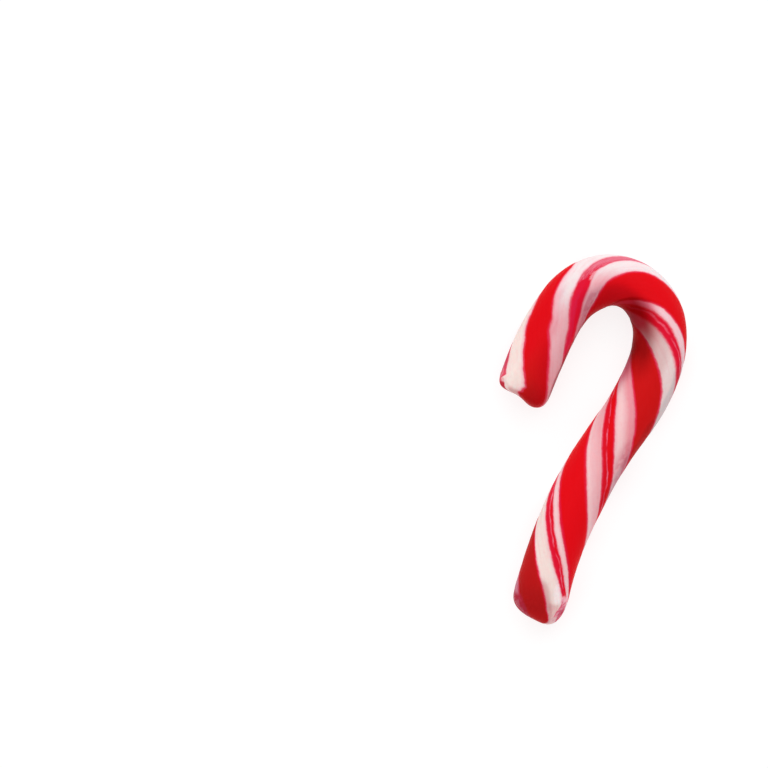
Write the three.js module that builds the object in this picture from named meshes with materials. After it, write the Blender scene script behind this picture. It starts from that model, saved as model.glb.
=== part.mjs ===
// A small candy cane of hard boiled sugar, lying on its side.
//
// It is one piece: a rod of striped sugar, twisted while it was warm, bent over into a crook and laid
// down to cool. It lies in the XY plane with +Z up. The straight leg runs along +Y from the foot, and
// the crook bends over to -X, so that the arm comes back down beside the leg. The underside is flat
// along a narrow band, where the soft rod settled on the cooling table.

import * as THREE from 'three';
import { LoftGeometry } from 'three/addons/geometries/LoftGeometry.js';

// ---------------------------------------------------------------------------------------------------
// Driving dimensions, in millimetres and degrees
// ---------------------------------------------------------------------------------------------------

// The rod. Its section is a soft oval that turns with the stripes: it stands out by OVAL of the radius
// on two sides and falls in as much between them.
const ROD_WIDTH = 8.54;
const ROD_HEIGHT = 8.28;
const OVAL = 0.022;
const OVAL_ANGLE = 96;
const TWIST_PITCH = 39.5;

// The centreline, from the foot to the tip of the arm. Each bend is a length of rod and the angle that
// it turns through, to the left where the angle is positive. EASE is how far one bend runs into the next.
const FOOT_HEADING = 102.2;
const EASE = 1.5;
const BENDS = [
  { name: 'foot', length: 9.6, turn: -6 },
  { name: 'leg', length: 20, turn: -16 },
  { name: 'top of the leg', length: 4.5, turn: -3 },
  { name: 'neck', length: 10.5, turn: 18.5 },
  { name: 'shoulder', length: 5, turn: 19 },
  { name: 'rise of the crook', length: 6.5, turn: 41 },
  { name: 'crown of the crook', length: 8.5, turn: 68 },
  { name: 'fall of the crook', length: 6.5, turn: 35 },
  { name: 'top of the arm', length: 4.5, turn: 9 },
  { name: 'arm', length: 11.6, turn: 9 },
];

// The rod is drawn thinner sideways where it is bent most tightly: how much, where, and how far along.
const WAIST = { depth: 0.39, distance: 59.6, length: 3.6 };

// The cut ends. The side rounds over into the end within `depth`, in a corner that is squarer the
// higher `power` is. The end's inner half stands out by `lean`, in a step that is `blend` wide and lies
// `offset` from the middle of the end, towards the inside of the crook.
const FOOT_END = { depth: 5.2, power: 2.9, lean: -0.93, blend: 3.6, offset: 0 };
const TIP_END = { depth: 3.6, power: 4, lean: 0.71, blend: 1.4, offset: 0.64 };

// How far from each end the rod starts to lean over into its slanted end.
const LEAN_LENGTH = 3;

// Hollows pressed into the soft ends where they were cut: the distance from the foot, the angle round
// the rod from straight up to the inside of the crook, the depth, and the reach along and around.
const HOLLOWS = [
  { distance: 2.9, angle: -24, depth: 0.32, along: 1.5, around: 13 },
  { distance: 1.3, angle: -34, depth: 0.3, along: 1.3, around: 13 },
  { distance: 85.4, angle: -30, depth: 0.3, along: 1.0, around: 15 },
];

// How deep the band along the underside is pressed flat.
const UNDERSIDE_CUT = 0.2;

// The chips broken off the outer rims of the foot and of the tip. Each is a flat that faces outward
// from the end, towards the inside of the crook (so a minus faces its outside) and up, and lies
// `reach` from the middle of the end.
const FOOT_CHIP = { facing: new THREE.Vector3(0.35, -0.78, 0.52).normalize(), reach: 2.5 };
const TIP_CHIP = { facing: new THREE.Vector3(0.55, -0.7, 0.45).normalize(), reach: 2.22 };

// How finely the solid is faceted.
const AROUND = 40;
const ALONG = 70;
const ROWS_IN_AN_END = 8;
const LAST_ROW_IN_AN_END = 83;

const SUGAR_RED = 0xe50b14;

// ---------------------------------------------------------------------------------------------------
// The centreline
// ---------------------------------------------------------------------------------------------------

const ROD_LENGTH = BENDS.reduce((sum, bend) => sum + bend.length, 0);

// The heading at a distance from the foot, with each bend turning evenly along its length.
function headingOfBends(distance) {
  let heading = FOOT_HEADING;
  let left = THREE.MathUtils.clamp(distance, 0, ROD_LENGTH);
  for (const bend of BENDS) {
    const along = Math.min(left, bend.length);
    heading += bend.turn * along / bend.length;
    left -= along;
  }
  return heading;
}

// The same heading, averaged over EASE to each side so that one bend runs smoothly into the next.
function headingAt(distance) {
  const samples = 12;
  let sum = 0;
  for (let i = 0; i <= samples; i++) {
    sum += headingOfBends(distance + EASE * (2 * i / samples - 1));
  }
  return THREE.MathUtils.degToRad(sum / (samples + 1));
}

// The centreline walked in short steps from the foot, which is at (0, 0).
const STEP = 0.05;
const STEPS = Math.round(ROD_LENGTH / STEP);
const WALK = [new THREE.Vector2(0, 0)];
for (let i = 0; i < STEPS; i++) {
  const heading = headingAt((i + 0.5) * STEP);
  const move = new THREE.Vector2(Math.cos(heading), Math.sin(heading)).multiplyScalar(STEP);
  WALK.push(WALK[i].clone().add(move));
}

// The centreline's place and directions at a distance from the foot. It runs on straight past its ends.
function centrelineAt(distance) {
  const inside = THREE.MathUtils.clamp(distance, 0, ROD_LENGTH);
  const index = Math.min(Math.floor(inside / STEP), STEPS - 1);
  const place = WALK[index].clone().lerp(WALK[index + 1], inside / STEP - index);
  const heading = headingAt(inside);
  const forward = new THREE.Vector2(Math.cos(heading), Math.sin(heading));
  const left = new THREE.Vector2(-forward.y, forward.x);
  place.addScaledVector(forward, distance - inside);
  return { place, forward, left };
}

// ---------------------------------------------------------------------------------------------------
// The surface of the rod
// ---------------------------------------------------------------------------------------------------

const bell = (value) => Math.exp(-0.5 * value * value);

// The share of the radius at which the surface lies, at an angle in degrees round the rod. The oval
// turns with the twist, and the hollows take a little off.
function swell(distance, angle) {
  const twisted = 360 * distance / TWIST_PITCH - angle;
  let share = 1 + OVAL * Math.cos(THREE.MathUtils.degToRad(2 * (twisted - OVAL_ANGLE)));
  for (const hollow of HOLLOWS) {
    const along = bell((distance - hollow.distance) / hollow.along);
    const around = bell((angle - hollow.angle) / hollow.around);
    share -= hollow.depth / (ROD_WIDTH / 2) * along * around;
  }
  return share;
}

// Draws a point that lies beyond a chip back onto its flat. The point is given outward from the middle
// of the end, towards the inside of the crook, and up.
function breakOff(chip, point) {
  const beyond = chip.facing.dot(point) - chip.reach;
  point.addScaledVector(chip.facing, -Math.max(0, beyond));
}

// One point of the surface. `scale` draws the section in towards the middle, for the rounded ends.
function surfacePoint(distance, scale, angle) {
  const turn = THREE.MathUtils.degToRad(angle);
  const waist = WAIST.depth * bell((distance - WAIST.distance) / WAIST.length);
  const radius = scale * swell(distance, angle);
  const inside = radius * (ROD_WIDTH / 2 - waist) * Math.sin(turn);
  const up = radius * ROD_HEIGHT / 2 * Math.cos(turn);

  // Each end leans over, the more so the nearer the point is to it, and then has its chip broken off.
  const fromTip = ROD_LENGTH - distance;
  const footLean = FOOT_END.lean * Math.tanh((inside - FOOT_END.offset) / FOOT_END.blend);
  const tipLean = TIP_END.lean * Math.tanh((inside - TIP_END.offset) / TIP_END.blend);
  const point = new THREE.Vector3(-distance, inside, up);
  point.x += footLean * THREE.MathUtils.clamp(1 - distance / LEAN_LENGTH, 0, 1);
  breakOff(FOOT_CHIP, point);
  point.x = -point.x - ROD_LENGTH;
  point.x += tipLean * THREE.MathUtils.clamp(1 - fromTip / LEAN_LENGTH, 0, 1);
  breakOff(TIP_CHIP, point);

  const { place, left } = centrelineAt(ROD_LENGTH + point.x);
  place.addScaledVector(left, point.y);
  const floor = UNDERSIDE_CUT - ROD_HEIGHT / 2;
  return new THREE.Vector3(place.x, place.y, Math.max(point.z, floor) - floor);
}

// One section of the rod, wound so that the faces between sections point outwards.
function section(distance, scale) {
  const points = [];
  for (let j = 0; j < AROUND; j++) {
    points.push(surfacePoint(distance, scale, 180 - 360 * j / AROUND));
  }
  return points;
}

// ---------------------------------------------------------------------------------------------------
// The solid
// ---------------------------------------------------------------------------------------------------

// The sections of a rounded end, from the middle of the end out to where the rod is full.
function endSections(end, placeAt) {
  const sections = [];
  for (let i = ROWS_IN_AN_END; i >= 1; i--) {
    const turn = THREE.MathUtils.degToRad(LAST_ROW_IN_AN_END * i / ROWS_IN_AN_END);
    const scale = Math.cos(turn) ** (2 / end.power);
    const outward = end.depth * Math.sin(turn) ** (2 / end.power);
    sections.push(section(placeAt(end.depth - outward), scale));
  }
  return sections;
}

function candyCaneGeometry() {
  const sections = endSections(FOOT_END, (inset) => inset);
  const straight = ROD_LENGTH - FOOT_END.depth - TIP_END.depth;
  for (let i = 0; i <= ALONG; i++) {
    sections.push(section(FOOT_END.depth + straight * i / ALONG, 1));
  }
  sections.push(...endSections(TIP_END, (inset) => ROD_LENGTH - inset).reverse());
  const geometry = new LoftGeometry(sections, { capStart: true, capEnd: true });
  geometry.deleteAttribute('normal');
  geometry.deleteAttribute('uv');

  // The origin is below the middle of the outline, on the surface that the cane lies on.
  geometry.computeBoundingBox();
  const middle = geometry.boundingBox.getCenter(new THREE.Vector3());
  geometry.translate(-middle.x, -middle.y, -geometry.boundingBox.min.z);
  geometry.computeVertexNormals();
  return geometry;
}

const sugar = new THREE.MeshStandardMaterial({ color: SUGAR_RED, roughness: 0.45, metalness: 0 });
const candyCane = new THREE.Mesh(candyCaneGeometry(), sugar);
candyCane.name = 'candy_cane';

const part = new THREE.Group();
part.add(candyCane);

export default part;
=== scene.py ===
import math

import bmesh
import bpy
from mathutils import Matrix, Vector, noise


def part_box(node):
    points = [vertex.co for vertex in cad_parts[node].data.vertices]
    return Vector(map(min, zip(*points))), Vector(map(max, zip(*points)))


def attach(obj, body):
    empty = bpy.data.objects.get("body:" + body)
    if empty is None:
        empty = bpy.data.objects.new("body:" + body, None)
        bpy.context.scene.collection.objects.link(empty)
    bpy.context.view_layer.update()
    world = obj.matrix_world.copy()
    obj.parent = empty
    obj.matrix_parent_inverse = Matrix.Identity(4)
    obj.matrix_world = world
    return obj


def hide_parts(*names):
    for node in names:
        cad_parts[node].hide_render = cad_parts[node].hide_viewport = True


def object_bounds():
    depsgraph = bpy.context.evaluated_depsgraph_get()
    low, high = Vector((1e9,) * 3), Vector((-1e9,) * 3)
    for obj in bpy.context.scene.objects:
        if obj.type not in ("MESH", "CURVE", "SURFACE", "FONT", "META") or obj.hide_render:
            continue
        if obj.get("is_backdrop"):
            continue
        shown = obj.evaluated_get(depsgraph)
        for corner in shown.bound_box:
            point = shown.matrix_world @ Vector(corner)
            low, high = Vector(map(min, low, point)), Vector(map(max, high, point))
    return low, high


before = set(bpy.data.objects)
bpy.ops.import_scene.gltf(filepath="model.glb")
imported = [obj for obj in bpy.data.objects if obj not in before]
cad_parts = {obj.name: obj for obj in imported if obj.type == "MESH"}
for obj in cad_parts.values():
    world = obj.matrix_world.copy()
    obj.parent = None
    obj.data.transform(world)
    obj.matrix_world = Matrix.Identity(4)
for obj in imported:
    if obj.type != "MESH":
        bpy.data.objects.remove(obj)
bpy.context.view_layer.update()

# ------------------------------------------------------------------------------------------------
# The camera looks straight down on the cane through a long lens, from high above the table. It is
# turned so that the leg of the cane leans over to the right.
# ------------------------------------------------------------------------------------------------

MM = 0.001
ROD_MIDDLE_HEIGHT = 4.1 * MM
CAMERA_HEIGHT = 900 * MM
PICTURE_WIDTH = 120.5 * MM
PICTURE_MIDDLE = (-28.81 * MM, -5.09 * MM)
PICTURE_TURN = math.radians(24.41)

camera_data = bpy.data.cameras.new("camera")
camera_data.lens = camera_data.sensor_width * CAMERA_HEIGHT / PICTURE_WIDTH
camera = bpy.data.objects.new("camera", camera_data)
camera.location = (*PICTURE_MIDDLE, ROD_MIDDLE_HEIGHT + CAMERA_HEIGHT)
camera.rotation_euler = (0, 0, PICTURE_TURN)
bpy.context.scene.collection.objects.link(camera)
bpy.context.scene.camera = camera
bpy.context.scene.view_settings.view_transform = "Standard"

# ------------------------------------------------------------------------------------------------
# The table is a plain white sheet, much larger than the cane. It is matt and gives off light of its
# own, so that it stays white and shows only a faint, soft shadow round the cane.
# ------------------------------------------------------------------------------------------------

TABLE_SIDE = 6.0
TABLE_WHITE = (0.25, 0.25, 0.25)
TABLE_ROUGHNESS = 0.9
TABLE_GLOW = 0.80

table_mesh = bmesh.new()
bmesh.ops.create_grid(table_mesh, x_segments=1, y_segments=1, size=TABLE_SIDE / 2)
table_data = bpy.data.meshes.new("table")
table_mesh.to_mesh(table_data)
table_mesh.free()
table = bpy.data.objects.new("table", table_data)
bpy.context.scene.collection.objects.link(table)

table_paint = bpy.data.materials.new("white table")
table_paint.use_nodes = True
table_shader = table_paint.node_tree.nodes["Principled BSDF"]
table_shader.inputs["Base Color"].default_value = (*TABLE_WHITE, 1)
table_shader.inputs["Roughness"].default_value = TABLE_ROUGHNESS
table_shader.inputs["Specular IOR Level"].default_value = 0.0
table_shader.inputs["Emission Color"].default_value = (1, 1, 1, 1)
table_shader.inputs["Emission Strength"].default_value = TABLE_GLOW
table_data.materials.append(table_paint)
table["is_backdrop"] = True

# ------------------------------------------------------------------------------------------------
# The light is a white room and one large soft lamp, high up beyond the crook, so that the inside of
# the crook and the side of the leg towards the foot lie in soft shade.
# ------------------------------------------------------------------------------------------------

ROOM_LIGHT = 0.65
LAMP_POWER = 3.7
LAMP_SIZE = 1.0
LAMP_DISTANCE = 0.8
LAMP_HEIGHT_ANGLE = math.radians(52)
LAMP_DIRECTION = PICTURE_TURN + math.radians(90)

world = bpy.data.worlds.new("white room")
world.use_nodes = True
world.node_tree.nodes["Background"].inputs["Color"].default_value = (1, 1, 1, 1)
world.node_tree.nodes["Background"].inputs["Strength"].default_value = ROOM_LIGHT
bpy.context.scene.world = world

lamp_data = bpy.data.lights.new("soft lamp", "AREA")
lamp_data.shape = "DISK"
lamp_data.size = LAMP_SIZE
lamp_data.energy = LAMP_POWER
lamp = bpy.data.objects.new("soft lamp", lamp_data)
lamp_side = LAMP_DISTANCE * math.cos(LAMP_HEIGHT_ANGLE)
lamp.location = (
    lamp_side * math.cos(LAMP_DIRECTION),
    lamp_side * math.sin(LAMP_DIRECTION),
    LAMP_DISTANCE * math.sin(LAMP_HEIGHT_ANGLE),
)
lamp.rotation_euler = Vector(lamp.location).to_track_quat("Z", "Y").to_euler()
lamp.visible_camera = False
bpy.context.scene.collection.objects.link(lamp)

# ------------------------------------------------------------------------------------------------
# The candy cane is one piece of hard boiled sugar: white and red sugar rolled into one rod, twisted
# while it was warm, cut, bent over into a crook and laid down to cool. The stripes are coloured
# sugar in the rod's skin, so they run round it in a screw and carry on over the cut ends.
# ------------------------------------------------------------------------------------------------

# The rod, in millimetres and degrees. The section is a soft oval that turns with the stripes.
ROD_WIDTH = 8.54
ROD_HEIGHT = 8.28
OVAL = 0.022
OVAL_ANGLE = 96
TWIST_PITCH = 39.5

# The bends of the centreline from the foot to the tip: the length of rod and the angle it turns
# through, to the left where the angle is positive. EASE is how far one bend runs into the next.
FOOT_HEADING = 102.2
EASE = 1.5
BENDS = [
    ("foot", 9.6, -6),
    ("leg", 20, -16),
    ("top of the leg", 4.5, -3),
    ("neck", 10.5, 18.5),
    ("shoulder", 5, 19),
    ("rise of the crook", 6.5, 41),
    ("crown of the crook", 8.5, 68),
    ("fall of the crook", 6.5, 35),
    ("top of the arm", 4.5, 9),
    ("arm", 11.6, 9),
]
ROD_LENGTH = sum(length for name, length, turn in BENDS)

# The rod is drawn thinner sideways where it is bent most tightly: how much, where and how far along.
WAIST_DEPTH = 0.39
WAIST_DISTANCE = 59.6
WAIST_LENGTH = 3.6

# The cut ends: how deep the rounded corner is, how square it is, and how the end leans over.
FOOT_END = {"depth": 5.2, "power": 2.9, "lean": -0.93, "blend": 3.6, "offset": 0}
TIP_END = {"depth": 3.6, "power": 4, "lean": 0.71, "blend": 1.4, "offset": 0.64}
LEAN_LENGTH = 3

# Hollows pressed into the soft ends by the cutter: the distance from the foot, the angle round the
# rod (0 is straight up, and plus is towards the inside of the crook), the depth, and the reach.
HOLLOWS = [
    {"distance": 2.9, "angle": -24, "depth": 0.32, "along": 1.5, "around": 13},
    {"distance": 1.3, "angle": -34, "depth": 0.3, "along": 1.3, "around": 13},
    {"distance": 85.4, "angle": -30, "depth": 0.3, "along": 1.0, "around": 15},
]

# The rod settled flat along a band underneath, and a chip is broken off the rim of each end. A chip
# faces out from the end, towards the inside of the crook, and up.
UNDERSIDE_CUT = 0.2
FOOT_CHIP = {"facing": Vector((0.35, -0.78, 0.52)).normalized(), "reach": 2.5}
TIP_CHIP = {"facing": Vector((0.55, -0.7, 0.45)).normalized(), "reach": 2.22}


def clamp(value, low=0.0, high=1.0):
    return max(low, min(high, value))


def ease(share):
    """Runs smoothly from 0 to 1 as the share does."""
    share = clamp(share)
    return share * share * (3 - 2 * share)


def ease_between(value, edges):
    """Runs smoothly from 0 at the first edge to 1 at the second."""
    return ease((value - edges[0]) / (edges[1] - edges[0]))


def bell(value):
    return math.exp(-0.5 * value * value)


# The centreline, walked in short steps from the foot.
def heading_of_bends(distance):
    """The heading in degrees at a distance from the foot, with each bend turning evenly."""
    heading = FOOT_HEADING
    left = clamp(distance, 0, ROD_LENGTH)
    for name, length, turn in BENDS:
        along = min(left, length)
        heading += turn * along / length
        left -= along
    return heading


def heading_at(distance):
    """The heading in radians, averaged over EASE to each side so that the bends run together."""
    samples = 12
    steps = [2 * i / samples - 1 for i in range(samples + 1)]
    return math.radians(sum(heading_of_bends(distance + EASE * step) for step in steps) / len(steps))


def direction(heading):
    return Vector((math.cos(heading), math.sin(heading)))


STEP = 0.05
STEPS = round(ROD_LENGTH / STEP)
walk = [Vector((0, 0))]
for i in range(STEPS):
    walk.append(walk[i] + direction(heading_at((i + 0.5) * STEP)) * STEP)


def centreline_at(distance):
    """The centreline's place, and its direction to the left of the way from foot to tip."""
    inside = clamp(distance, 0, ROD_LENGTH)
    index = min(int(inside / STEP), STEPS - 1)
    forward = direction(heading_at(inside))
    place = walk[index].lerp(walk[index + 1], inside / STEP - index)
    return place + forward * (distance - inside), Vector((-forward.y, forward.x))


# The stripes. A place on the rod has a twist angle, which stays the same along a stripe that keeps
# its width: 360 degrees for each pitch along the rod, less the angle round it. Each edge of a stripe
# wanders a little: it lies at these twist angles, in degrees, at these distances from the foot.
STRIPE_EDGES = {
    "thin stripe starts": [(8, 93), (16, 97), (24, 101), (46, 105), (51, 97), (60, 97), (78, 90),
                           (81.4, 91), (84.1, 101), (85.2, 123), (87, 131)],
    "thin stripe ends": [(6, 104), (12, 110), (20, 117), (50, 120), (60, 118), (80, 113), (84, 122),
                         (85.6, 142), (87, 148)],
    "wide stripe starts": [(6, 122), (10, 128), (22, 138), (48, 146), (53, 142), (57, 134), (70, 132),
                           (84, 136), (86, 160)],
    "wide stripe ends": [(14, 203), (20, 207), (25, 212), (31, 214), (54, 206), (58, 213), (62, 209),
                         (66, 204), (70, 213)],
    "narrow stripe starts": [(20, 248), (28, 256), (35, 257), (60, 254), (64, 252), (66.5, 239),
                             (69, 240), (74, 251)],
    "narrow stripe ends": [(3, 300), (20, 274), (27, 283), (36, 284), (58, 268), (66, 268), (72, 273),
                           (78, 290)],
    "dark stripe starts": [(0.5, 335), (1.5, 341), (3, 343), (5, 345), (10, 345), (28, 334), (35, 338),
                           (43, 334), (65.6, 336), (66.8, 316), (73, 321), (76, 332), (85, 355)],
    "dark stripe ends": [(0, 425), (0.6, 411), (1.3, 406), (2.2, 400), (6, 406), (12, 410), (30, 395),
                         (37, 400), (42, 409), (48, 406), (72, 372), (78, 394), (81, 404), (83, 409),
                         (85, 414), (86, 427), (86.7, 440)],
}

# Where the same edges lie in the stripe pattern, which the colours and the relief follow.
PATTERN_EDGES = [95, 112, 132, 210, 254, 285, 336, 408]
PATTERN_START = PATTERN_EDGES[-1] - 360


def edge_at(keys, distance):
    """The twist angle of an edge at a distance from the foot, eased from each key to the next."""
    distance = clamp(distance, keys[0][0], keys[-1][0])
    for (start, first), (end, second) in zip(keys, keys[1:]):
        if distance <= end:
            return first + (second - first) * ease((distance - start) / (end - start))


def edges_at(distance):
    """The twist angles of all the edges in turn, and of the first one a turn further on."""
    edges = [edge_at(keys, distance) for keys in STRIPE_EDGES.values()]
    return edges + [edges[0] + 360]


def pattern_at(distance, angle, edges):
    """How far round the stripe pattern a place is, in degrees, counted on from turn to turn."""
    twist = 360 * distance / TWIST_PITCH - angle
    turns = math.floor((twist - edges[0]) / 360)
    within = twist - 360 * turns
    pattern = PATTERN_EDGES + [PATTERN_EDGES[0] + 360]
    for i in range(len(PATTERN_EDGES)):
        if within <= edges[i + 1]:
            share = (within - edges[i]) / (edges[i + 1] - edges[i])
            return 360 * turns + pattern[i] + (pattern[i + 1] - pattern[i]) * share
    return 360 * turns + pattern[-1]


# The relief. Heights and depths are in millimetres, and widths in degrees across the pattern. The
# wide and the dark stripe stand a little proud of the white. There is a fine groove at each edge, and
# a crease down the middle of the thin and the narrow stripe, which is shallower from the crook's
# narrow stripe on. The pulled sugar is a little uneven, with fine ridges that follow the twist.
WIDE_STRIPES = (PATTERN_EDGES[2:4], PATTERN_EDGES[6:8])
WIDE_STRIPE_RISE = 0.05
WIDE_STRIPE_SHOULDER = 7
EDGE_GROOVE = 0.03
EDGE_GROOVE_WIDTH = 2.4
CREASES = (104.5, 267.5)
CREASE_DEPTH = 0.07
CREASE_WIDTH = 2.0
CREASE_WANDER = 5.5
CREASE_WAVES = 0.3
CREASE_REACH = 30.0
SHALLOWER_FROM = (560, 600)
SHALLOWER_BY = 0.8
RIDGES = 0.018
UNEVEN = 0.045


def noise_place(degrees, distance, across, along):
    """A point for the noise, with `across` lumps in a turn and `along` lumps to each millimetre."""
    turn = math.radians(degrees)
    radius = across / math.tau
    return Vector((radius * math.cos(turn), radius * math.sin(turn), distance * along))


def layered_noise(point, falloff, layers):
    """Noise in layers, each of them finer and fainter than the last. A low falloff is rougher."""
    finer = 2.1
    return noise.fractal(point, falloff, finer, layers)


def from_crease(pattern, distance):
    """How far a place is from the nearest crease, in degrees across the pattern."""
    within = (pattern - PATTERN_START) % 360 + PATTERN_START
    nearest = CREASE_REACH
    for crease in CREASES:
        place = Vector((crease, 0, distance * CREASE_WAVES))
        wander = CREASE_WANDER * layered_noise(place, falloff=0.8, layers=3)
        away = within - crease - wander
        if abs(away) < abs(nearest):
            nearest = away
    return nearest


def relief(pattern, distance):
    """The height of the surface above the smooth rod, and how far it is from the nearest crease."""
    within = (pattern - PATTERN_EDGES[0]) % 360 + PATTERN_EDGES[0]
    height = 0.0
    for start, end in WIDE_STRIPES:
        inside = min(within - start, end - within)
        height += WIDE_STRIPE_RISE * ease(inside / WIDE_STRIPE_SHOULDER)
    for edge in PATTERN_EDGES:
        away = (within - edge + 180) % 360 - 180
        height -= EDGE_GROOVE * bell(away / EDGE_GROOVE_WIDTH)
    to_crease = from_crease(pattern, distance)
    shallower = SHALLOWER_BY * ease_between(pattern, SHALLOWER_FROM)
    height -= CREASE_DEPTH * bell(to_crease / CREASE_WIDTH) * (1 - shallower)
    height += RIDGES * noise.noise(noise_place(pattern, distance, across=60, along=0.10))
    height += UNEVEN * noise.noise(noise_place(pattern, distance, across=5, along=0.16))
    return height, to_crease


# The surface: a place on the rod becomes a point of the mesh. A chip's face is this rough, in
# millimetres, with this many lumps to a millimetre, and it is smoother where it is less deep than
# BROKEN_RIM.
BROKEN_ROUGHNESS = 0.10
BROKEN_LUMPS = 1.3
BROKEN_RIM = 0.25


def break_off(chip, point):
    """Draws a point beyond a chip back onto its face, which is rough. Returns how far it came."""
    beyond = max(0.0, chip["facing"].dot(point) - chip["reach"])
    rough = BROKEN_ROUGHNESS * layered_noise(point * BROKEN_LUMPS, falloff=0.7, layers=5)
    point -= chip["facing"] * (beyond + rough * ease(beyond / BROKEN_RIM))
    return beyond


def surface_point(distance, scale, angle, height):
    """The point's place, and how deep it is in a broken face."""
    twist = 360 * distance / TWIST_PITCH - angle
    share = 1 + OVAL * math.cos(math.radians(2 * (twist - OVAL_ANGLE)))
    for hollow in HOLLOWS:
        along = bell((distance - hollow["distance"]) / hollow["along"])
        around = bell((angle - hollow["angle"]) / hollow["around"])
        share -= hollow["depth"] / (ROD_WIDTH / 2) * along * around
    share += height / (ROD_WIDTH / 2)
    waist = WAIST_DEPTH * bell((distance - WAIST_DISTANCE) / WAIST_LENGTH)
    turn = math.radians(angle)
    inside = scale * share * (ROD_WIDTH / 2 - waist) * math.sin(turn)
    up = scale * share * ROD_HEIGHT / 2 * math.cos(turn)

    from_tip = ROD_LENGTH - distance
    foot_lean = FOOT_END["lean"] * math.tanh((inside - FOOT_END["offset"]) / FOOT_END["blend"])
    tip_lean = TIP_END["lean"] * math.tanh((inside - TIP_END["offset"]) / TIP_END["blend"])
    point = Vector((-distance, inside, up))
    point.x += foot_lean * clamp(1 - distance / LEAN_LENGTH)
    broken = break_off(FOOT_CHIP, point)
    point.x = -point.x - ROD_LENGTH
    point.x += tip_lean * clamp(1 - from_tip / LEAN_LENGTH)
    broken += break_off(TIP_CHIP, point)

    place, left = centreline_at(ROD_LENGTH + point.x)
    place += left * point.y
    floor = UNDERSIDE_CUT - ROD_HEIGHT / 2
    return Vector((place.x, place.y, max(point.z, floor) - floor)) * MM, broken


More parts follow.
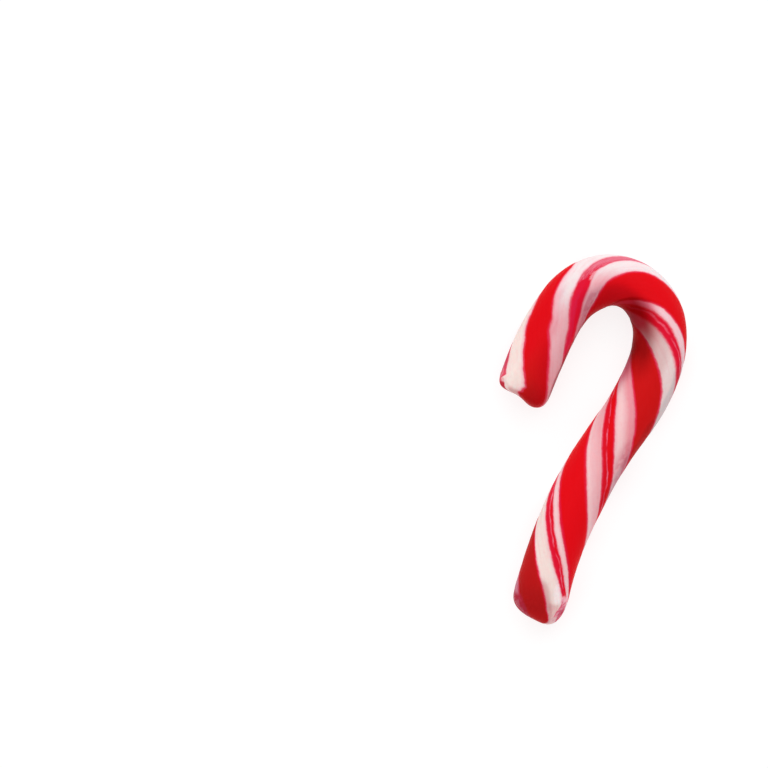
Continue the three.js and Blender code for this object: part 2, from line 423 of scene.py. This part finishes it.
# Where red has bled into the white, where the sugar is darker or paler, and where shade and highlights
# are painted into the colour, each a tint that the colour is multiplied by. The painted shade lies in
# the hollows, at the ends, on the inside of the crook and the arm and on the outer side of the leg; the
# painted highlights lie on the rims of the ends. A stain fades in over its first two numbers and out
# over its last two: along the rod in millimetres, around it in degrees, and across the stripe pattern
# in degrees. Its mottle is how much of it is gone in blotches.
STAINS_AND_PAINTED_LIGHT = [
    # Painted shade: the inside of the crown is darkened to half, where the crook's own shade falls.
    {"name": "dark inside of the crown", "along": (40, 47, 54, 60), "around": (-2, 35, 110, 150),
     "tint": (0.5, 0.5, 0.5)},
    # Painted shade: a fainter darkening further round the inside of the crown.
    {"name": "dim inside of the crown", "along": (52, 57, 66, 74), "around": (-5, 25, 120, 160),
     "tint": (0.78, 0.9, 0.9)},
    {"name": "red bled into the inside of the crown", "along": (43.5, 52, 62, 67),
     "around": (-16, 34, 100, 140), "pattern": (400, 408, 494, 502), "tint": (0.72, 0.05, 0.08)},
    {"name": "red bled above the crown's thin stripe", "around": (-6, 12, 70, 100),
     "pattern": (468, 476, 492, 495), "tint": (0.92, 0.48, 0.62)},
    {"name": "blush above the tip's wide stripe", "around": (-36, -22, 2, 20),
     "pattern": (660, 678, 690, 694), "tint": (0.96, 0.75, 0.79)},
    {"name": "grey white of the crown", "along": (40, 44, 54, 58), "around": (-30, -8, 20, 40),
     "pattern": (404, 412, 446, 452), "tint": (0.86, 0.76, 0.76)},
    # Partly a pink blush in the sugar, partly painted shade on the inside of the crook.
    {"name": "blush above the narrow stripe", "around": (25, 45, 120, 160),
     "pattern": (572, 580, 604, 612), "tint": (0.95, 0.82, 0.85)},
    {"name": "mauve streak below the narrow stripe", "along": (62, 65, 72, 77),
     "around": (8, 24, 70, 100), "pattern": (572, 578, 598, 608), "mottle": 0.4,
     "tint": (0.84, 0.60, 0.66)},
    # Painted shade: the dark stripe is dimmed on the inside of the arm.
    {"name": "dim inside of the arm", "along": (66, 72, 90, 91), "around": (-10, 25, 100, 130),
     "pattern": (696, 702, 768, 776), "tint": (0.86, 1, 1)},
    # Painted shade along the inner side of the arm.
    {"name": "dark rim inside the arm", "along": (66, 70, 85, 86), "around": (66, 76, 110, 130),
     "tint": (0.72, 0.54, 0.55)},
    # Painted shade on the leg's outer side, away from the lamp.
    {"name": "shaded outer side of the leg", "along": (18, 24, 42, 50), "around": (-120, -80, -56, -46),
     "tint": (0.80, 0.85, 0.87)},
    # Partly a pink blush in the sugar, partly painted shade on the inside of the neck, under the crook.
    {"name": "blush inside the neck", "along": (36, 41, 46, 50), "around": (40, 72, 110, 150),
     "tint": (0.68, 0.28, 0.38)},
    # Painted shade: the red at the foot's end is darkened.
    {"name": "dark foot", "along": (0.2, 1.8, 3.5, 7.5), "around": (-50, -5, 90, 120),
     "pattern": (-400, -390, 40, 48), "tint": (0.84, 0.95, 0.95)},
    # Painted shade in the hollow pressed into the foot.
    {"name": "grey hollow in the foot", "along": (-2, -1, 5.6, 7.4), "around": (-75, -55, 20, 40),
     "pattern": (44, 48, 54, 68), "tint": (0.78, 0.58, 0.60)},
    # Painted shade, in blotches, on the lower side of the foot's hollow.
    {"name": "grey underside of the hollow", "along": (-2, -1, 2.6, 3.8), "around": (-90, -80, 0, 20),
     "pattern": (54, 58, 78, 86), "mottle": 0.3, "tint": (0.98, 0.76, 0.78)},
    # Painted highlight: the tint is above one and brightens the foot's rim where it faces the light.
    {"name": "bare white rim of the foot", "along": (3.2, 3.8, 5.6, 7.0), "around": (-58, -48, -30, -20),
     "pattern": (66, 76, 88, 92), "tint": (1.09, 1.15, 1.23)},
    # Painted shade: a darker spot deep in the foot's hollow.
    {"name": "dark spot in the hollow", "along": (1.7, 2.3, 2.9, 3.5), "around": (-46, -37, -28, -19),
     "tint": (0.90, 0.85, 0.87)},
    # Painted shade, tinted mauve and in blotches, on the white at the leg's outer side.
    {"name": "mauve outer edge of the leg", "along": (14, 18, 40, 44), "around": (-120, -90, -44, -18),
     "pattern": (288, 294, 328, 334), "mottle": 0.4, "tint": (0.82, 0.56, 0.62)},
    # Painted highlight: the tint is above one and brightens the tip's rim.
    {"name": "bare white rim of the tip", "along": (81, 84.4, 86.4, 86.9), "around": (-66, -56, -36, -22),
     "pattern": (782, 792, 830, 840), "tint": (1.06, 1.07, 1.07)},
    {"name": "crimson outer edge of the tip", "along": (79, 80.5, 83, 84), "around": (-100, -88, -70, -64),
     "pattern": (814, 818, 832, 836), "tint": (0.84, 0.62, 0.75)},
    # Painted shade: the end of the tip is darkened.
    {"name": "dark tip", "along": (83, 86, 90, 91), "around": (-14, 6, 60, 80), "tint": (0.85, 0.92, 0.92)},
    # Painted shade, tinted rosy, where the tip's rim turns down.
    {"name": "rosy rim of the tip", "along": (85.8, 86.8, 90, 91), "around": (-52, -40, -8, 4),
     "tint": (0.80, 0.54, 0.56)},
    # Painted shade along the inner side of the tip.
    {"name": "dark inner edge of the tip", "along": (76, 78, 83.6, 85.2), "around": (64, 74, 100, 120),
     "pattern": (630, 640, 684, 692), "tint": (0.72, 0.46, 0.50)},
    {"name": "crimson rim of the foot's chip", "along": (0.4, 1.0, 2.4, 3.2), "around": (-92, -84, -74, -66),
     "tint": (0.74, 0.34, 0.44)},
]

# Where another colour covers the stripes: the bruised sugar at the foot, and the small facets that
# broke beside the chips. Their windows are those of the stains.
PATCHES = [
    {"name": "purple patch on the foot", "along": (-2, -1, 3.1, 3.8), "around": (16, 30, 110, 130),
     "pattern": (-135, -125, -26, -20), "mottle": 0.35, "colour": (0.42, 0.014, 0.036)},
    {"name": "pink facet above the foot's chip", "along": (3.8, 4.2, 4.7, 5.2),
     "around": (-80, -70, -48, -44), "colour": (0.98, 0.36, 0.46)},
    {"name": "pale rim below the foot's chip", "along": (-2, -1, 1.0, 1.6), "around": (-82, -76, -56, -44),
     "colour": (0.80, 0.38, 0.43)},
    {"name": "pale speck at the end of the veil", "along": (63.9, 64.3, 65.2, 65.6),
     "around": (-27, -22, -14, -10), "pattern": (608, 612, 617, 621), "colour": (0.80, 0.24, 0.31)},
    {"name": "crimson corner of the tip", "along": (85.5, 86.1, 90, 91), "around": (-120, -110, -64, -56),
     "colour": (0.54, 0.018, 0.038)},
    {"name": "pink facet above the tip's chip", "along": (84.9, 85.2, 85.6, 86.0),
     "around": (-71, -68, -61, -56), "colour": (0.92, 0.36, 0.42)},
]

# The stains, the painted shade and highlights, and the patches wander by this much: millimetres along
# the rod, and degrees around it and across the pattern. They fade out between these shares of the
# rod's width, towards the middle of each end.
MARKS_WANDER = {"along": 0.5, "around": 5, "pattern": 4}
MARKS_FADE = (0.28, 0.42)
BLOTCH_EDGE = (-0.1, 0.25)
NO_TINT = Vector((1.0, 1.0, 1.0))

# The rosy colour of the chips fades in and out at these angles round the rod.
CHIP_COLOUR_AROUND = (-120, -105, -66, -54)


def window(value, edges):
    """1 between the middle two edges, 0 outside the outer two, and smooth between them."""
    return ease_between(value, edges[:2]) * (1 - ease_between(value, edges[2:]))


def share_of(mark, distance, angle, pattern):
    """How strong a stain, a stretch of painted shade or highlight, or a patch is at a place. Its edges
    wander a little.
    """
    wander = noise.noise(noise_place(angle, distance, across=9, along=0.35))
    share = 1.0
    for name, value in (("along", distance), ("around", angle), ("pattern", pattern)):
        if name in mark:
            share *= window(value + MARKS_WANDER[name] * wander, mark[name])
    if "mottle" in mark:
        place = noise_place(angle, distance, across=26, along=0.9)
        in_blotch = ease_between(layered_noise(place, falloff=0.8, layers=3), BLOTCH_EDGE)
        share *= 1 - mark["mottle"] * in_blotch
    return share


def stains_and_painted_light_at(distance, angle, pattern):
    """The tint of all the stains, the painted shade and the painted highlights together."""
    tint = NO_TINT
    for stain_and_painted_light in STAINS_AND_PAINTED_LIGHT:
        share = share_of(stain_and_painted_light, distance, angle, pattern)
        tint = tint * NO_TINT.lerp(Vector(stain_and_painted_light["tint"]), share)
    return tint


def patch_at(distance, angle, pattern):
    """The colour that the patches add, and how much they cover of what is below."""
    colour = Vector((0.0, 0.0, 0.0))
    cover = 0.0
    for patch in PATCHES:
        share = share_of(patch, distance, angle, pattern)
        colour = colour * (1 - share) + Vector(patch["colour"]) * share
        cover = cover * (1 - share) + share
    return colour, cover


# The mesh starts as a ball, which is closed at both poles, with its rows spread along the rod from
# the foot's pole to the tip's.
AROUND = 200
ROWS = 480
ROWS_IN_AN_END = 36


def rounded_end(end, share):
    """How far in from the end a row lies, and its scale, from the middle of the end to full width."""
    turn = share * math.pi / 2
    power = end["power"]
    reach = (math.sin(turn) ** power + math.cos(turn) ** power) ** (-1 / power)
    return end["depth"] * (1 - reach * math.cos(turn)), reach * math.sin(turn)


def row_place(row):
    """A row's distance from the foot, and its scale."""
    if row < ROWS_IN_AN_END:
        return rounded_end(FOOT_END, row / ROWS_IN_AN_END)
    if row > ROWS - ROWS_IN_AN_END:
        inset, scale = rounded_end(TIP_END, (ROWS - row) / ROWS_IN_AN_END)
        return ROD_LENGTH - inset, scale
    share = (row - ROWS_IN_AN_END) / (ROWS - 2 * ROWS_IN_AN_END)
    straight = ROD_LENGTH - FOOT_END["depth"] - TIP_END["depth"]
    return FOOT_END["depth"] + share * straight, 1.0


rod = bmesh.new()
bmesh.ops.create_uvsphere(rod, u_segments=AROUND, v_segments=ROWS, radius=1)

# What the finish reads at each point: how near it is to the middle of an end, how deep in a chip, how
# far from a crease, how much a patch covers it, the tint of the stains and of the painted shade and
# highlights, and the colour of the patches.
core_layer = rod.verts.layers.float.new("core")
broken_layer = rod.verts.layers.float.new("broken")
crease_layer = rod.verts.layers.float.new("crease")
cover_layer = rod.verts.layers.float.new("cover")
stain_and_painted_light_layer = rod.verts.layers.float_color.new("stain_and_painted_light")
patch_layer = rod.verts.layers.float_color.new("patch")

rows = []
for row in range(ROWS + 1):
    distance, scale = row_place(row)
    rows.append((distance, scale, edges_at(distance)))

places = {}
for vert in rod.verts:
    side = math.hypot(vert.co.x, vert.co.y)
    row = round(ROWS * math.atan2(side, -vert.co.z) / math.pi)
    distance, scale, edges = rows[row]
    column = round(AROUND * math.atan2(vert.co.y, vert.co.x) / math.tau)
    angle = 360 * column / AROUND
    pattern = pattern_at(distance, angle, edges)
    height, to_crease = relief(pattern, distance)
    vert.co, broken = surface_point(distance, scale, angle, height)
    marked = ease_between(scale, MARKS_FADE)
    vert[core_layer] = 1 - scale
    vert[broken_layer] = broken * window(angle, CHIP_COLOUR_AROUND)
    vert[crease_layer] = to_crease
    vert[stain_and_painted_light_layer] = (*NO_TINT.lerp(stains_and_painted_light_at(distance, angle, pattern), marked), 1)
    patch, cover = patch_at(distance, angle, pattern)
    vert[patch_layer] = (*(patch * marked), 1)
    vert[cover_layer] = cover * marked
    places[vert.index] = (distance, angle, pattern, 0 < row < ROWS)

# The UV map follows the stripes: U counts the turns of the pattern, and V runs from foot to tip.
stripe_map = rod.loops.layers.uv.new("stripes")
for face in rod.faces:
    around = [places[vert.index][1] for vert in face.verts if places[vert.index][3]]
    crosses_seam = max(around) - min(around) > 180
    turns = []
    for loop in face.loops:
        distance, angle, pattern, on_side = places[loop.vert.index]
        if crosses_seam and angle < 0:
            pattern -= 360
        loop[stripe_map].uv = (pattern / 360, distance / ROD_LENGTH)
        if on_side:
            turns.append(pattern / 360)
    for loop in face.loops:
        if not places[loop.vert.index][3]:
            loop[stripe_map].uv.x = sum(turns) / len(turns)

# The middle of the rod's outline goes where the solid has it, and its underside on the table.
low = Vector([min(vert.co[axis] for vert in rod.verts) for axis in range(3)])
high = Vector([max(vert.co[axis] for vert in rod.verts) for axis in range(3)])
solid_low, solid_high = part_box("candy_cane")
shift = (solid_low + solid_high - low - high) / 2
shift.z = solid_low.z - low.z
bmesh.ops.translate(rod, vec=shift, verts=rod.verts)
bmesh.ops.recalc_face_normals(rod, faces=rod.faces)

rod_data = bpy.data.meshes.new("striped candy cane")
rod.to_mesh(rod_data)
rod.free()
rod_data.shade_smooth()
candy_cane = bpy.data.objects.new("striped_candy_cane", rod_data)
bpy.context.scene.collection.objects.link(candy_cane)

# The sugar's colours, as linear red, green and blue.
CREAM = (0.92, 0.75, 0.70)
SHELL = (0.93, 0.61, 0.62)
MILK_PINK = (0.90, 0.51, 0.54)
PINK = (0.87, 0.43, 0.46)
ROSE = (0.85, 0.32, 0.37)
DUSTY_ROSE = (0.80, 0.24, 0.30)
EDGE_PINK = (0.83, 0.15, 0.21)
RIM = (0.79, 0.06, 0.12)
MAGENTA = (0.77, 0.02, 0.06)
CRIMSON = (0.76, 0.008, 0.035)
RED = (0.79, 0.004, 0.009)
DEEP_CRIMSON = (0.74, 0.007, 0.020)
BRIGHT_CRIMSON = (0.85, 0.006, 0.032)
ROSY_CRIMSON = (0.82, 0.014, 0.062)
CROOK_RED = (0.745, 0.004, 0.009)
DARK_RED = (0.63, 0.008, 0.009)
FOOT_RED = (0.52, 0.009, 0.010)
FOOT_MAGENTA = (0.66, 0.045, 0.095)
DARK_MAUVE = (0.68, 0.20, 0.27)
MOON_WHITE = (0.85, 0.67, 0.66)
PETAL = (0.93, 0.60, 0.65)
BLOSSOM = (0.87, 0.75, 0.76)
RED_MIST = (0.75, 0.05, 0.105)
MIST_PINK = (0.74, 0.15, 0.22)
PALE_MIST = (0.84, 0.30, 0.38)
BLUSH = (0.90, 0.40, 0.45)
WARM_PINK = (0.86, 0.46, 0.50)
LINE_PINK = (0.84, 0.08, 0.14)
BRIGHT_LINE_PINK = (0.86, 0.19, 0.28)
WINE = (0.68, 0.06, 0.11)
CHIP_ROSE = (0.82, 0.13, 0.21)
CHIP_PALE = (0.93, 0.40, 0.49)

# The colours across the pattern, in degrees round it, on each pass of the stripes over the top of
# the rod.
THIN_STRIPE = [
    (89.5, SHELL), (92.5, EDGE_PINK), (94, MAGENTA), (97, CRIMSON), (105, CRIMSON), (107, RED),
    (112, CRIMSON), (114, EDGE_PINK), (116, MILK_PINK), (119, SHELL),
]
WIDE_STRIPE = [
    (128, MILK_PINK), (130.5, EDGE_PINK), (132, MAGENTA), (136, CRIMSON), (139, RED), (203, RED),
    (209, MAGENTA), (211, EDGE_PINK), (213.5, MILK_PINK),
]
NARROW_STRIPE = [
    (249, PINK), (251.5, EDGE_PINK), (254, MAGENTA), (257.5, DEEP_CRIMSON), (266, DEEP_CRIMSON), (268, RED),
    (282, RED), (284.5, MAGENTA), (287, EDGE_PINK), (289.5, MILK_PINK),
]
FOOT_PASS = [
    (48, FOOT_MAGENTA), (52, EDGE_PINK), (54.5, MILK_PINK), (60, CREAM), (84, CREAM),
    *THIN_STRIPE, (124, SHELL), *WIDE_STRIPE, (246, PINK), *NARROW_STRIPE, (296, DARK_MAUVE),
    (318, DARK_MAUVE), (326, WINE), (331, FOOT_RED), (404, FOOT_RED), (407, CRIMSON), (408, FOOT_MAGENTA),
]
LEG_PASS = [
    (48, RIM), (50, EDGE_PINK), (52, SHELL), (56, CREAM), (82, CREAM), *THIN_STRIPE, (124, SHELL),
    *WIDE_STRIPE, (218, SHELL), (228, MILK_PINK), (246, PINK), *NARROW_STRIPE, (296, SHELL), (304, SHELL),
    (310, MILK_PINK), (316, PINK), (322, ROSE), (330, ROSE), (333.5, DUSTY_ROSE), (336, RIM), (339, MAGENTA),
    (342, DARK_RED), (404, DARK_RED), (406.5, MAGENTA), (408, RIM),
]
CROOK_START = [
    (48, RIM), (50, EDGE_PINK), (52.5, MOON_WHITE), (83, MOON_WHITE), (86.5, PINK), (89, EDGE_PINK),
    (91, MAGENTA), (94, CRIMSON), (109, CRIMSON), (112, EDGE_PINK), (114.5, MILK_PINK), (118, PETAL),
    (124, PETAL), (127.5, MILK_PINK), (129.5, EDGE_PINK), (131.5, MAGENTA), (136, CROOK_RED),
    (205, CROOK_RED), (209, MAGENTA),
]
CROOK_OUTSIDE = [
    *CROOK_START, (211.5, EDGE_PINK), (214, PETAL), (218, BLOSSOM), (245, BLOSSOM), (249, PETAL),
    (251.5, DUSTY_ROSE), (254, CRIMSON), (284, CRIMSON), (287, DUSTY_ROSE), (289, PETAL), (292, BLOSSOM),
    (314, BLOSSOM), (325, PETAL), (329, PINK), (331.5, EDGE_PINK), (334, MAGENTA), (338, CROOK_RED),
    (404, CROOK_RED), (408, RIM),
]
CROOK_INSIDE = [
    *CROOK_START, (212, EDGE_PINK), (214.5, BLUSH), (244, BLUSH), (248, ROSE), (252, EDGE_PINK),
    (255, MAGENTA), (258, BRIGHT_CRIMSON), (266, BRIGHT_CRIMSON), (270, ROSY_CRIMSON), (281, ROSY_CRIMSON),
    (284.5, RIM), (287, EDGE_PINK), (289, ROSE), (291, WARM_PINK), (327, WARM_PINK), (331, ROSE),
    (334, RIM), (338, MAGENTA), (342, CROOK_RED), (404, DARK_RED), (408, RIM),
]
TIP_PASS = [
    (48, MAGENTA), (49.5, EDGE_PINK), (51.5, MILK_PINK), (54, SHELL), (58, CREAM), (91, CREAM), (93, SHELL),
    (95.5, EDGE_PINK), (97.5, WINE), (102, RIM), (106, DUSTY_ROSE), (110, WINE), (116, DUSTY_ROSE),
    (124, ROSE), (128, RIM), (133, WINE), (200, WINE), (206, MAGENTA), (214, ROSE), (246, PINK),
    *NARROW_STRIPE, (297, SHELL), (332, ROSE), (340, DARK_RED), (404, DARK_RED), (408, MAGENTA),
]

# A place's pass number is whole on top of the rod and grows by one in a turn towards the inside of
# the crook. After the foot's, each pass starts at the first number and blends in over the second, so
# that the colours change on the underside, but for the crook's, which change along its top as well.
LATER_PASSES = [
    (0.5, 0.4, LEG_PASS),
    (1.5, 0.4, CROOK_OUTSIDE),
    (1.965, 0.11, CROOK_INSIDE),
    (2.5, 0.4, TIP_PASS),
]

sugar = bpy.data.materials.new("striped sugar")
sugar.use_nodes = True
nodes = sugar.node_tree.nodes
links = sugar.node_tree.links
shader = nodes["Principled BSDF"]


def set_input(socket, value):
    """Puts a number, a colour or another node's output on a socket."""
    if isinstance(value, bpy.types.NodeSocket):
        links.new(value, socket)
    elif isinstance(value, tuple):
        socket.default_value = (*value, 1)
    else:
        socket.default_value = value


def math_node(operation, *values):
    node = nodes.new("ShaderNodeMath")
    node.operation = operation
    for socket, value in zip(node.inputs, values):
        set_input(socket, value)
    return node.outputs["Value"]


def smooth_share(value, low, high):
    """0 below low, 1 above high, and smooth between them. It falls instead if low is the higher."""
    node = nodes.new("ShaderNodeMapRange")
    node.interpolation_type = "SMOOTHSTEP"
    set_input(node.inputs["Value"], value)
    node.inputs["From Min"].default_value = low
    node.inputs["From Max"].default_value = high
    return node.outputs["Result"]


def mix_colours(share, first, second, how="MIX"):
    node = nodes.new("ShaderNodeMix")
    node.data_type = "RGBA"
    node.blend_type = how
    set_input(node.inputs[0], share)
    set_input(node.inputs[6], first)
    set_input(node.inputs[7], second)
    return node.outputs[2]


def multiply_colours(share, first, second):
    return mix_colours(share, first, second, "MULTIPLY")


def attribute(name):
    """Reads one of the layers painted on the mesh."""
    node = nodes.new("ShaderNodeAttribute")
    node.attribute_name = name
    return node


def noise_at(vector, scale, detail=2.0, roughness=0.5):
    node = nodes.new("ShaderNodeTexNoise")
    set_input(node.inputs["Vector"], vector)
    node.inputs["Scale"].default_value = scale
    node.inputs["Detail"].default_value = detail
    node.inputs["Roughness"].default_value = roughness
    return node.outputs["Fac"]


def combine(x, y, z):
    node = nodes.new("ShaderNodeCombineXYZ")
    for socket, value in zip(node.inputs, (x, y, z)):
        set_input(socket, value)
    return node.outputs["Vector"]


def colour_ramp(position, stops):
    """The colour at a position from 0 to 1, from stops in degrees round the pattern."""
    most_stops = 32
    if len(stops) > most_stops:
        half = len(stops) // 2
        past_half = math_node("GREATER_THAN", position, (stops[half][0] - PATTERN_START) / 360)
        first_half = colour_ramp(position, stops[:half + 1])
        return mix_colours(past_half, first_half, colour_ramp(position, stops[half:]))
    node = nodes.new("ShaderNodeValToRGB")
    set_input(node.inputs["Fac"], position)
    elements = node.color_ramp.elements
    elements.remove(elements[1])
    for i, (degrees, colour) in enumerate(stops):
        place = (degrees - PATTERN_START) / 360
        element = elements[0] if i == 0 else elements.new(place)
        element.position = place
        element.color = (*colour, 1)
    return node.outputs["Color"]


map_node = nodes.new("ShaderNodeUVMap")
map_node.uv_map = "stripes"
split = nodes.new("ShaderNodeSeparateXYZ")
links.new(map_node.outputs["UV"], split.inputs["Vector"])
turns_socket = split.outputs["X"]
along_socket = math_node("MULTIPLY", split.outputs["Y"], ROD_LENGTH)
object_place = nodes.new("ShaderNodeTexCoord").outputs["Object"]

# Two spaces for noise that is drawn out along the stripes: a circle round the pattern, in roughly
# the rod's millimetres, with the distance along the rod shrunk.
PATTERN_RADIUS = 3.5
STREAK_SHRINK = 0.12
WOBBLE_SHRINK = 0.7
turn_angle = math_node("MULTIPLY", turns_socket, math.tau)
circle_x = math_node("MULTIPLY", math_node("COSINE", turn_angle), PATTERN_RADIUS)
circle_y = math_node("MULTIPLY", math_node("SINE", turn_angle), PATTERN_RADIUS)
streak_space = combine(circle_x, circle_y, math_node("MULTIPLY", along_socket, STREAK_SHRINK))
wobble_space = combine(circle_x, circle_y, math_node("MULTIPLY", along_socket, WOBBLE_SHRINK))

# The edges of the stripes wobble by these shares of a turn, in long waves and in fine ones.
WOBBLE = 0.014
FINE_WOBBLE = 0.008
wobble = math_node("SUBTRACT", noise_at(wobble_space, 1.0, detail=3.0), 0.5)
fine_wobble = math_node("SUBTRACT", noise_at(wobble_space, 3.5, detail=2.0), 0.5)
pattern_turns = math_node("ADD", turns_socket, math_node("MULTIPLY", wobble, WOBBLE))
pattern_turns = math_node("ADD", pattern_turns, math_node("MULTIPLY", fine_wobble, FINE_WOBBLE))
position = math_node("FRACT", math_node("SUBTRACT", pattern_turns, PATTERN_START / 360))

turns_of_twist = math_node("MULTIPLY", along_socket, 1 / TWIST_PITCH)
turns_of_pattern = math_node("ADD", position, PATTERN_START / 360)
pass_number = math_node("ADD", math_node("SUBTRACT", turns_of_twist, turns_of_pattern), 1.0)

colour = colour_ramp(position, FOOT_PASS)
for start, blend, stops in LATER_PASSES:
    share = smooth_share(pass_number, start - blend / 2, start + blend / 2)
    colour = mix_colours(share, colour, colour_ramp(position, stops))


def window_share(value, low_start, low_end, high_start, high_end):
    """1 between the middle two values, 0 outside the outer two, and smooth between them."""
    rise = smooth_share(value, low_start, low_end)
    return math_node("MULTIPLY", rise, smooth_share(value, high_end, high_start))


def across_stripe(*degrees):
    """The share of a stripe, from the degrees round the pattern where it fades in and out."""
    return window_share(position, *((edge - PATTERN_START) / 360 for edge in degrees))


# Over the outside of the crook a veil of pale sugar lies on the narrow stripe, with paler specks and
# fibres in it. It ends in a ragged edge on top of the crown, and is thinner and redder near that edge.
VEIL_ACROSS = (247, 252, 283, 287)
VEIL_ALONG = (1.5, 1.6, 1.905, 1.918)
VEIL_RAGGED = 0.04
VEIL_THINS = (1.83, 1.90)
VEIL_PALER = 0.45
ragged = math_node("SUBTRACT", noise_at(wobble_space, 1.8, detail=4.0, roughness=0.6), 0.5)
veil_end = math_node("ADD", pass_number, math_node("MULTIPLY", ragged, VEIL_RAGGED))
veil = math_node("MULTIPLY", across_stripe(*VEIL_ACROSS), window_share(veil_end, *VEIL_ALONG))
thick = smooth_share(pass_number, *reversed(VEIL_THINS))
specks = smooth_share(noise_at(wobble_space, 3.0, detail=3.0, roughness=0.6), 0.52, 0.68)
fibres = smooth_share(noise_at(streak_space, 5.0, detail=3.0, roughness=0.6), 0.50, 0.62)
paler = math_node("MULTIPLY", math_node("MAXIMUM", specks, fibres), VEIL_PALER)
veil_colour = mix_colours(thick, RED_MIST, MIST_PINK)
veil_colour = mix_colours(paler, veil_colour, PALE_MIST)
colour = mix_colours(veil, colour, veil_colour)

# A fine pale line lies in each crease. It fades in and out, and is brightest in short stretches. The
# narrow stripe has none in the crook.
LINE_CORE = 0.5
LINE_HALF_WIDTH = 3.2
LINE_WOBBLE = 3.0
LINE_IN_THIN_STRIPE = (94, 98, 112, 116)
LINE_IN_NARROW_STRIPE = (255, 259, 281, 285)
NARROW_LINE_FADES = (1.3, 1.5)
WAVES_TO_A_MILLIMETRE = 0.45
line_wobble = math_node("MULTIPLY", fine_wobble, LINE_WOBBLE)
from_middle = math_node("ADD", attribute("crease").outputs["Fac"], line_wobble)
in_line = smooth_share(math_node("ABSOLUTE", from_middle), LINE_HALF_WIDTH, LINE_CORE)
below_crook = smooth_share(pass_number, *reversed(NARROW_LINE_FADES))
in_narrow_stripe = math_node("MULTIPLY", across_stripe(*LINE_IN_NARROW_STRIPE), below_crook)
in_stripes = math_node("MAXIMUM", across_stripe(*LINE_IN_THIN_STRIPE), in_narrow_stripe)
in_line = math_node("MULTIPLY", in_line, in_stripes)
wave_place = math_node("MULTIPLY", along_socket, WAVES_TO_A_MILLIMETRE)
line_waves = noise_at(combine(0.0, turns_socket, wave_place), 1.0, detail=3.0)
in_line = math_node("MULTIPLY", in_line, smooth_share(line_waves, 0.34, 0.48))
line_colour = mix_colours(smooth_share(line_waves, 0.5, 0.66), LINE_PINK, BRIGHT_LINE_PINK)
colour = mix_colours(in_line, colour, line_colour)

# Faint streaks of more colour lie along the stripes, and the whole is finely mottled.
STREAK_TINT = (0.99, 0.84, 0.86)
STREAK_STRENGTH = 0.7
MOTTLE_TINT = (0.99, 0.95, 0.96)
MOTTLE_SCALE = 1800
streaks = noise_at(streak_space, 2.2, detail=3.0, roughness=0.6)
streak_share = math_node("MULTIPLY", smooth_share(streaks, 0.45, 0.75), STREAK_STRENGTH)
colour = multiply_colours(streak_share, colour, STREAK_TINT)
mottle = noise_at(object_place, MOTTLE_SCALE, detail=3.0, roughness=0.6)
colour = multiply_colours(smooth_share(mottle, 0.4, 0.7), colour, MOTTLE_TINT)

# The middle of the cut ends is bare white sugar, in grains of two shades.
CORE_GRAIN_SCALE = 7000
CORE_GRAININESS = 0.2
CORE_EDGE = (0.69, 0.91)
core_grains = noise_at(object_place, CORE_GRAIN_SCALE, detail=2.0, roughness=0.6)
core_colour = mix_colours(smooth_share(core_grains, 0.42, 0.66), MILK_PINK, CREAM)
grainy = math_node("MULTIPLY", core_grains, CORE_GRAININESS)
core_depth = math_node("ADD", attribute("core").outputs["Fac"], grainy)
colour = mix_colours(smooth_share(core_depth, *CORE_EDGE), colour, core_colour)

# The chips are rosy with paler blotches, and have ragged rims.
BLOTCH_SCALE = 1500
CHIP_RIM_RAGGED = 2.5
CHIP_RIM = 0.12
blotches = noise_at(object_place, BLOTCH_SCALE, detail=4.0, roughness=0.7)
chip_colour = mix_colours(smooth_share(blotches, 0.40, 0.62), CHIP_ROSE, CHIP_PALE)
ragged_rim = math_node("MULTIPLY_ADD", wobble, CHIP_RIM_RAGGED, 1.0)
chip_depth = math_node("MULTIPLY", attribute("broken").outputs["Fac"], ragged_rim)
colour = mix_colours(smooth_share(chip_depth, 0.0, CHIP_RIM), colour, chip_colour)

# The stains and the painted shade and highlights tint all this. The patches, which are blotchy too,
# blot out what is below them and add their own colour.
BLACK = (0, 0, 0)
PATCH_BLOTCH_TINT = (1.1, 1.5, 1.3)
colour = multiply_colours(1.0, colour, attribute("stain_and_painted_light").outputs["Color"])
colour = mix_colours(attribute("cover").outputs["Fac"], colour, BLACK)
patch_blotches = smooth_share(blotches, 0.35, 0.60)
patch_colour = multiply_colours(patch_blotches, attribute("patch").outputs["Color"], PATCH_BLOTCH_TINT)
colour = mix_colours(1.0, colour, patch_colour, "ADD")
links.new(colour, shader.inputs["Base Color"])

# The sugar is satin, a little rougher in the streaks, and its skin is very finely grained.
ROUGHNESS = 0.34
ROUGHER_IN_STREAKS = 0.16
SKIN_GRAIN_SCALE = 4000
SKIN_GRAIN = 0.4
roughness = math_node("MULTIPLY_ADD", streaks, ROUGHER_IN_STREAKS, ROUGHNESS)
links.new(roughness, shader.inputs["Roughness"])
skin_grain = noise_at(object_place, SKIN_GRAIN_SCALE, detail=3.0, roughness=0.6)
skin_height = math_node("ADD", math_node("MULTIPLY", skin_grain, SKIN_GRAIN), streaks)
bump = nodes.new("ShaderNodeBump")
bump.inputs["Strength"].default_value = 0.5
bump.inputs["Distance"].default_value = 0.02 * MM
links.new(skin_height, bump.inputs["Height"])
links.new(bump.outputs["Normal"], shader.inputs["Normal"])
shader.inputs["IOR"].default_value = 1.5
shader.inputs["Specular IOR Level"].default_value = 0.02
shader.inputs["Subsurface Weight"].default_value = 0.2
shader.inputs["Subsurface Radius"].default_value = (1.0, 0.35, 0.3)
shader.inputs["Subsurface Scale"].default_value = 0.5 * MM
rod_data.materials.append(sugar)

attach(candy_cane, "root")
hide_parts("candy_cane")

low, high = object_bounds()
